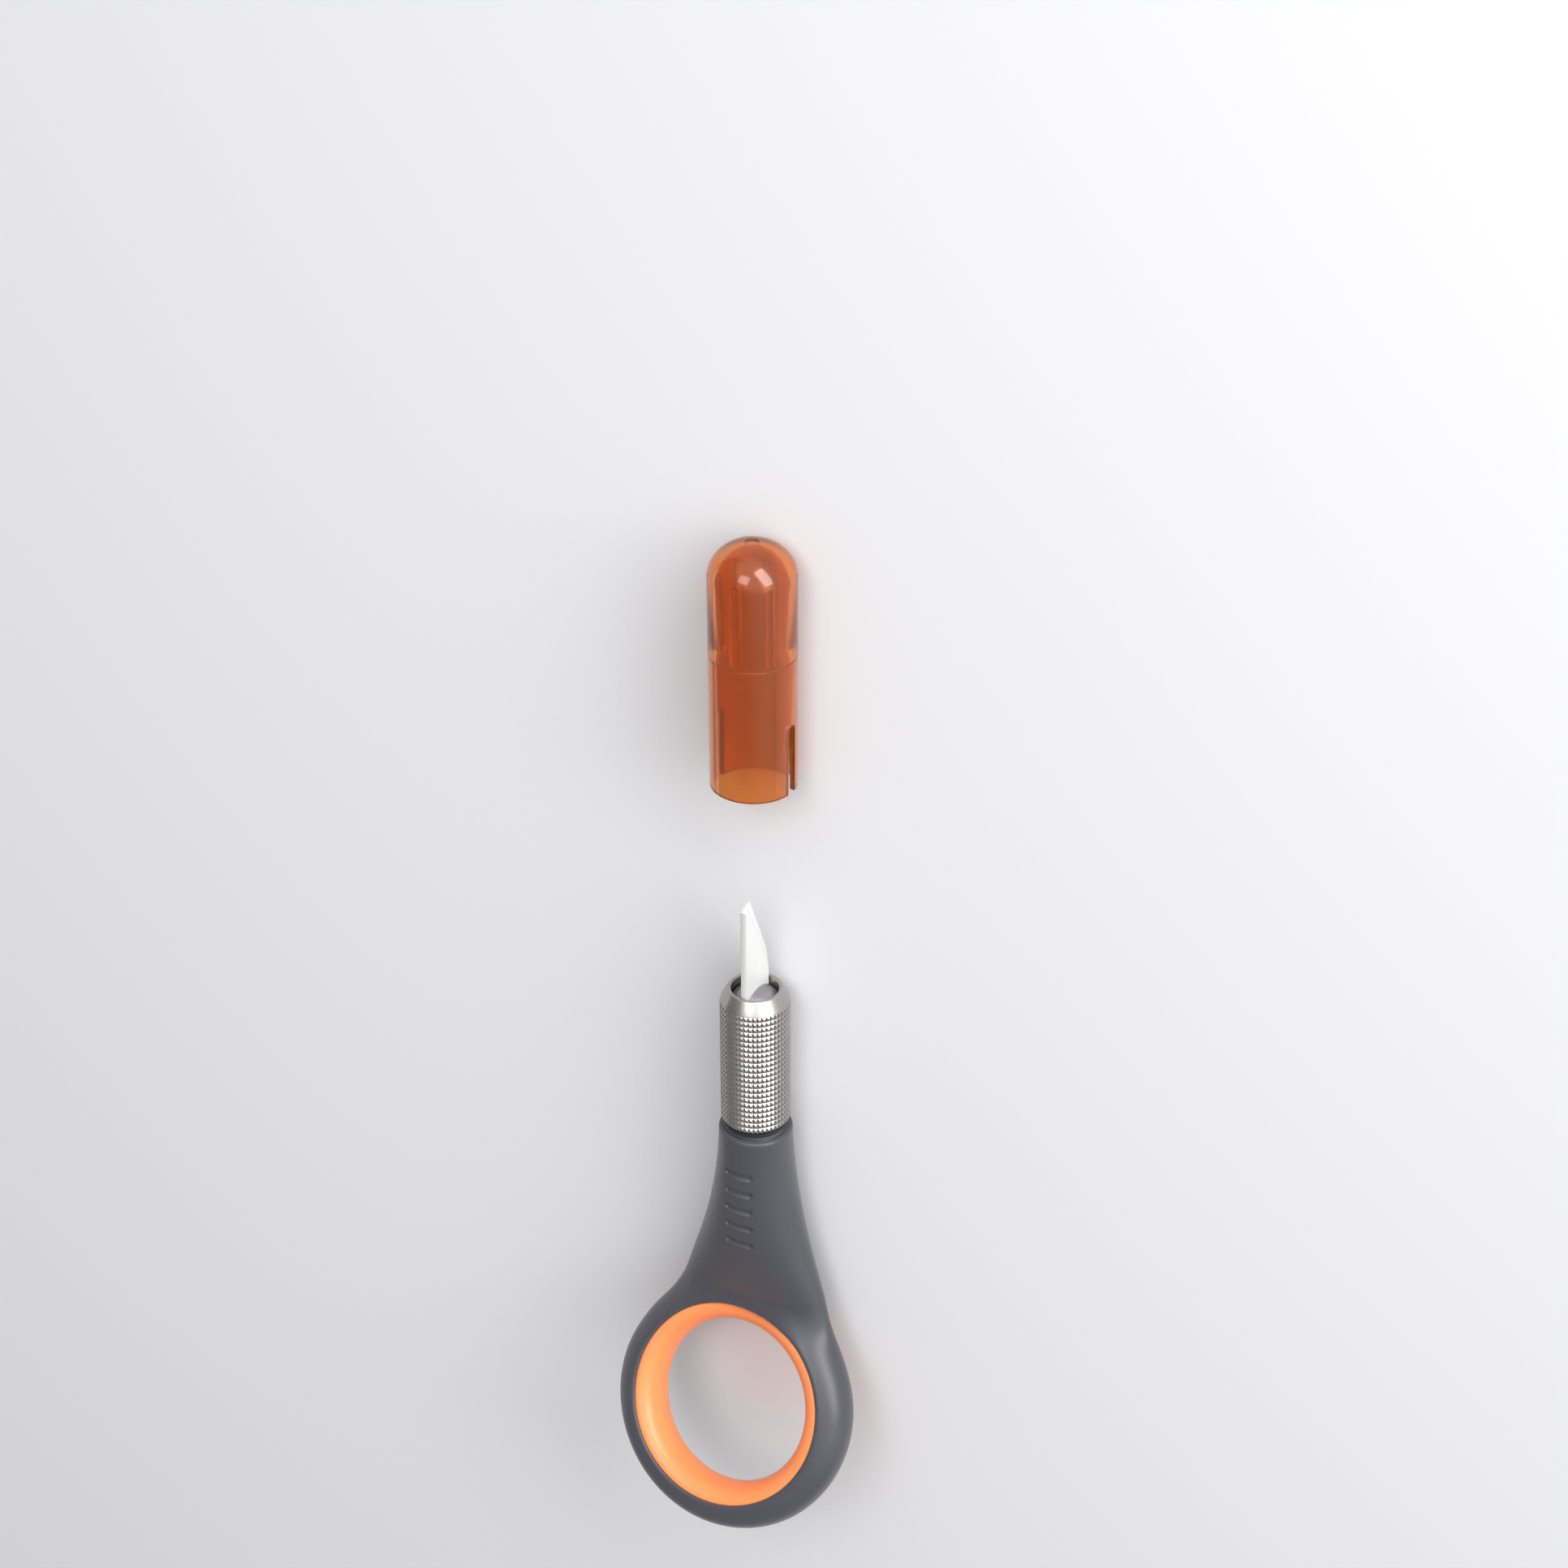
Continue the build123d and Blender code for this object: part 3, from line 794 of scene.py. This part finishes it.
def round_arrises(mesh, radius, segments, angle):
    """Bevel the sharp edges of a mesh, so that they catch the light, and keep its flat faces flat."""
    mesh.shade_smooth()
    holder = bpy.data.objects.new(mesh.name, mesh)
    bpy.context.scene.collection.objects.link(holder)
    bevel = holder.modifiers.new("arris", "BEVEL")
    bevel.width = radius
    bevel.segments = segments
    bevel.limit_method = "ANGLE"
    bevel.angle_limit = math.radians(angle)
    bevel.harden_normals = True
    return evaluated_copy(holder)


class CRAFTKNIFE_OT_blade(bpy.types.Operator):
    """Build the ceramic blade and finish the collet, washer and insert that hold it"""
    bl_idname = "craftknife.blade"
    bl_label = "Blade and collet"

    def execute(self, context):
        settings = context.scene.craft_knife.blade
        ceramic = zirconia("zirconia_lapped", settings.colour, 0.34, 0.12, 0.12)
        mesh = round_arrises(cad_copy("blade"), settings.edge_round, 2, 12)
        add_piece("blade_strip", mesh, ceramic, "blade", "blade_ceramic", "blade")
        dress_node("collet", turned_metal("anodised_grey_aluminium", linear("#a5a5aa"), 0.36, 0.08, 0.2))
        dress_node("threaded_insert", turned_metal("turned_steel", linear("#8d8d90"), 0.35, 0.1, 0.4))
        dress_node("thrust_washer", moulded_nylon("black_nylon_washer", linear("#1c1d1f"), 0.5))
        return {"FINISHED"}


def cap_profile(edge_round):
    """Outline of the cap's wall, as (x, radius) pairs: sleeve, inner step, dome and thumb dimple."""
    mouth, step, outer = CAP_MOUTH_X, CAP_STEP_X, CAP_R
    sleeve, upper = outer - SLEEVE_WALL, outer - UPPER_WALL
    dome = CAP_APEX_X - DOME_RISE
    apex = CAP_APEX_X + 0.06     # of the dome's ellipse, which the dimple cuts off
    height = apex - dome
    arc = [math.pi / 2 * i / 24 for i in range(1, 24)]
    # The first corner only gives the mouth's rounding its direction, so its own arc is left out.
    profile = rounded([(dome - 4, outer), (mouth, outer), (mouth, sleeve), (step, sleeve), (step, upper),
                       (step + 2, upper)], edge_round, 3)[5:]
    profile = [tuple(p) for p in profile]
    inside = [(dome - DOME_WALL + height * math.sin(t), upper * math.cos(t)) for t in arc]
    outside = [(dome + height * math.sin(t), outer * math.cos(t)) for t in arc]
    dimple = [(apex - 0.25, 0.02), (apex - 0.25, 0.7), (apex - 0.08, 0.95)]
    profile += inside + [(apex - DOME_WALL, 0.02)] + dimple
    return profile + [p for p in reversed(outside) if p[1] > 1.15]


def capsule_prism(name, middle_x, length, width, reach):
    """A slot cutter: an oblong along X, carried along Y through both walls."""
    radius = width / 2
    outline = []
    for end, start in ((length / 2 - radius, -math.pi / 2), (radius - length / 2, math.pi / 2)):
        outline += [(middle_x + end + radius * math.cos(start + math.pi * i / 10),
                     BARREL_Z + radius * math.sin(start + math.pi * i / 10)) for i in range(11)]
    count = len(outline)
    points = [(x, -reach, z) for x, z in outline] + [(x, reach, z) for x, z in outline]
    faces = [(i, (i + 1) % count, count + (i + 1) % count, count + i) for i in range(count)]
    faces += [tuple(range(count)), tuple(range(count, 2 * count))]
    return mesh_from(name, points, faces)


def rib_tree():
    """Geometry Nodes tree: thin ribs set round the inside of a tube."""
    tree, given = start_tree(
        "cap_ribs", ("Count", "Int", 6), ("Length", "Float", 0.0104), ("Depth", "Float", 0.0013),
        ("Thickness", "Float", 0.0007), ("Radius", "Float", 0.0043), ("Middle", "Float", 0.12))
    index = add_node(tree, "GeometryNodeInputIndex").outputs[0]
    turn = add_node(tree, "ShaderNodeMath", {0: index, 1: given["Count"]}, operation="DIVIDE")
    angle = add_node(tree, "ShaderNodeMath", {0: turn.outputs[0], 1: 2 * math.pi, 2: math.pi / 6},
                     operation="MULTIPLY_ADD").outputs[0]
    size = add_node(tree, "ShaderNodeCombineXYZ",
                    {"X": given["Length"], "Y": given["Thickness"], "Z": given["Depth"]}).outputs[0]
    block = add_node(tree, "GeometryNodeMeshCube", {"Size": size}).outputs["Mesh"]
    return stand_round_barrel(tree, given, block, given["Count"], given["Middle"], given["Radius"], angle)


def combine(mesh, other, operation):
    """Exact boolean of two closed meshes."""
    holder = bpy.data.objects.new(mesh.name, mesh)
    tool = bpy.data.objects.new(other.name, other)
    for piece in (holder, tool):
        bpy.context.scene.collection.objects.link(piece)
    modifier = holder.modifiers.new(operation, "BOOLEAN")
    modifier.operation = operation
    modifier.solver = "EXACT"
    modifier.object = tool
    result = evaluated_copy(holder)
    bpy.data.objects.remove(tool)
    return result


class CRAFTKNIFE_OT_cap(bpy.types.Operator):
    """Build the clear safety cap: domed sleeve, inner ribs, two side slots"""
    bl_idname = "craftknife.cap"
    bl_label = "Safety cap"

    def execute(self, context):
        settings = context.scene.craft_knife.cap
        plastic = clear_polycarbonate(settings.colour)
        profile = cap_profile(settings.edge_round / MM)
        points, faces = lathe(profile, (0, 0, BARREL_Z), (1, 0, 0), (0, 1, 0), 96)
        shell = mesh_from("clear_cap", points, faces)
        ribs = nodes_mesh("cap_ribs", rib_tree(), {
            "Count": settings.ribs, "Length": RIB_LENGTH * MM, "Depth": RIB_DEPTH * MM,
            "Thickness": RIB_THICKNESS * MM, "Radius": (CAP_R - RIB_FRONT + RIB_DEPTH / 2) * MM,
            "Middle": (CAP_STEP_X + RIB_START + RIB_LENGTH / 2) * MM,
            "Axis Height": BARREL_Z * MM, "Material": plastic})
        slot = capsule_prism("slot", CAP_MOUTH_X + (SLOT_LENGTH - SLOT_WIDTH) / 2,
                             SLOT_LENGTH + SLOT_WIDTH, SLOT_WIDTH, 2 * CAP_R)
        shell = combine(shell, ribs, "UNION")
        shell = combine(shell, slot, "DIFFERENCE")
        shell.shade_smooth()
        shell.set_sharp_from_angle(angle=math.radians(32))
        add_piece("clear_cap", shell, plastic, "cap", "clear_cap", "safety_cap")
        return {"FINISHED"}


# ---- stage ----

# The camera stands above and beside the knife, turned so that the barrel runs upwards in its view.
CAMERA_PLACE = Vector((0.2846, -0.1619, 0.2708))
CAMERA_RIGHT = Vector((-0.00053, -0.86944, -0.49404))
CAMERA_UP = Vector((0.86331, 0.24893, -0.43901))
LENS = 67.88
SENSOR = 36.0
FLOOR_HALF = 6.0


def add_softbox(name, direction, distance, size, power):
    """A rectangular soft light that faces the knife from a direction."""
    light = bpy.data.lights.new(name, "AREA")
    light.shape = "RECTANGLE"
    light.size, light.size_y = size
    light.energy = power
    lamp = bpy.data.objects.new(name, light)
    bpy.context.scene.collection.objects.link(lamp)
    towards = Vector(direction).normalized()
    lamp.location = Vector((CAD_BOX[1][0] / 2, 0, 0)) + towards * distance
    lamp.rotation_euler = towards.to_track_quat("Z", "Y").to_euler()


def set_studio_world(scene):
    """White room that is bright in front and to the right of the knife and dim elsewhere, to model metal."""
    world = bpy.data.worlds.new("studio")
    scene.world = world
    world.use_nodes = True
    tree = world.node_tree
    tree.nodes.clear()
    direction = add_node(tree, "ShaderNodeTexCoord").outputs["Generated"]
    facing = add_node(tree, "ShaderNodeVectorMath", {0: direction, 1: (0.68, -0.68, 0.27)},
                      operation="DOT_PRODUCT")
    light = add_node(tree, "ShaderNodeMapRange",
                     {"Value": facing.outputs["Value"], "From Min": 0.1, "From Max": 0.8,
                      "To Min": 0.34, "To Max": 1.9}, interpolation_type="SMOOTHSTEP")
    background = add_node(tree, "ShaderNodeBackground", {"Strength": light.outputs["Result"]})
    add_node(tree, "ShaderNodeOutputWorld", {"Surface": background.outputs[0]})


class CRAFTKNIFE_OT_stage(bpy.types.Operator):
    """Lay the pale floor and set the soft lights and the camera"""
    bl_idname = "craftknife.stage"
    bl_label = "Stage"

    def execute(self, context):
        settings = context.scene.craft_knife.stage
        floor_height = CAD_BOX[0][2]
        half = FLOOR_HALF
        mesh = bpy.data.meshes.new("floor")
        mesh.from_pydata([(-half, -half, floor_height), (half, -half, floor_height),
                          (half, half, floor_height), (-half, half, floor_height)], [], [(0, 1, 2, 3)])
        floor = bpy.data.objects.new("floor", mesh)
        context.scene.collection.objects.link(floor)
        material, _, shader, _ = start_material("matt_painted_table")
        shader.inputs["Base Color"].default_value = (*settings.floor_colour, 1)
        shader.inputs["Roughness"].default_value = 0.6
        shader.inputs["Specular IOR Level"].default_value = 0.0
        mesh.materials.append(material)

        set_studio_world(context.scene)
        add_softbox("key", (0.60, -0.75, 0.33), 0.60, (0.60, 0.26), settings.key_power)
        add_softbox("top", (0.55, -0.10, 0.83), 0.70, (0.30, 0.30), settings.top_power)
        add_softbox("edge", (-0.15, 0.97, 0.17), 0.60, (0.60, 0.12), settings.edge_power)

        camera = bpy.data.cameras.new("camera")
        camera.lens = LENS
        camera.sensor_width = SENSOR
        camera.clip_start = 0.01
        viewer = bpy.data.objects.new("camera", camera)
        context.scene.collection.objects.link(viewer)
        back = CAMERA_RIGHT.cross(CAMERA_UP).normalized()
        turn = Matrix((CAMERA_RIGHT, CAMERA_UP, back)).transposed().to_4x4()
        viewer.matrix_world = Matrix.Translation(CAMERA_PLACE) @ turn
        context.scene.camera = viewer
        context.scene.view_settings.view_transform = "Standard"
        return {"FINISHED"}


class CRAFTKNIFE_PT_panel(bpy.types.Panel):
    """Sidebar panel that lists the knife's pieces"""
    bl_idname = "CRAFTKNIFE_PT_panel"
    bl_label = "Craft Knife"
    bl_space_type = "VIEW_3D"
    bl_region_type = "UI"
    bl_category = "Craft Knife"

    def draw(self, context):
        for build in PIECES:
            self.layout.operator(build.bl_idname)


PIECES = (CRAFTKNIFE_OT_grip, CRAFTKNIFE_OT_liner, CRAFTKNIFE_OT_collar, CRAFTKNIFE_OT_blade,
          CRAFTKNIFE_OT_cap, CRAFTKNIFE_OT_stage)
SETTINGS = (GripSettings, LinerSettings, CollarSettings, BladeSettings, CapSettings, StageSettings,
            KnifeSettings)


def register():
    """Register the settings, the operators and the panel."""
    for kind in (*SETTINGS, *PIECES, CRAFTKNIFE_PT_panel):
        bpy.utils.register_class(kind)
    bpy.types.Scene.craft_knife = PointerProperty(type=KnifeSettings)


def unregister():
    """Take them all out again."""
    del bpy.types.Scene.craft_knife
    for kind in reversed((*SETTINGS, *PIECES, CRAFTKNIFE_PT_panel)):
        bpy.utils.unregister_class(kind)


def main():
    """Build every piece and the stage."""
    register()
    bpy.ops.craftknife.grip()
    bpy.ops.craftknife.liner()
    bpy.ops.craftknife.collar()
    bpy.ops.craftknife.blade()
    bpy.ops.craftknife.cap()
    bpy.ops.craftknife.stage()


if __name__ == "__main__":
    main()
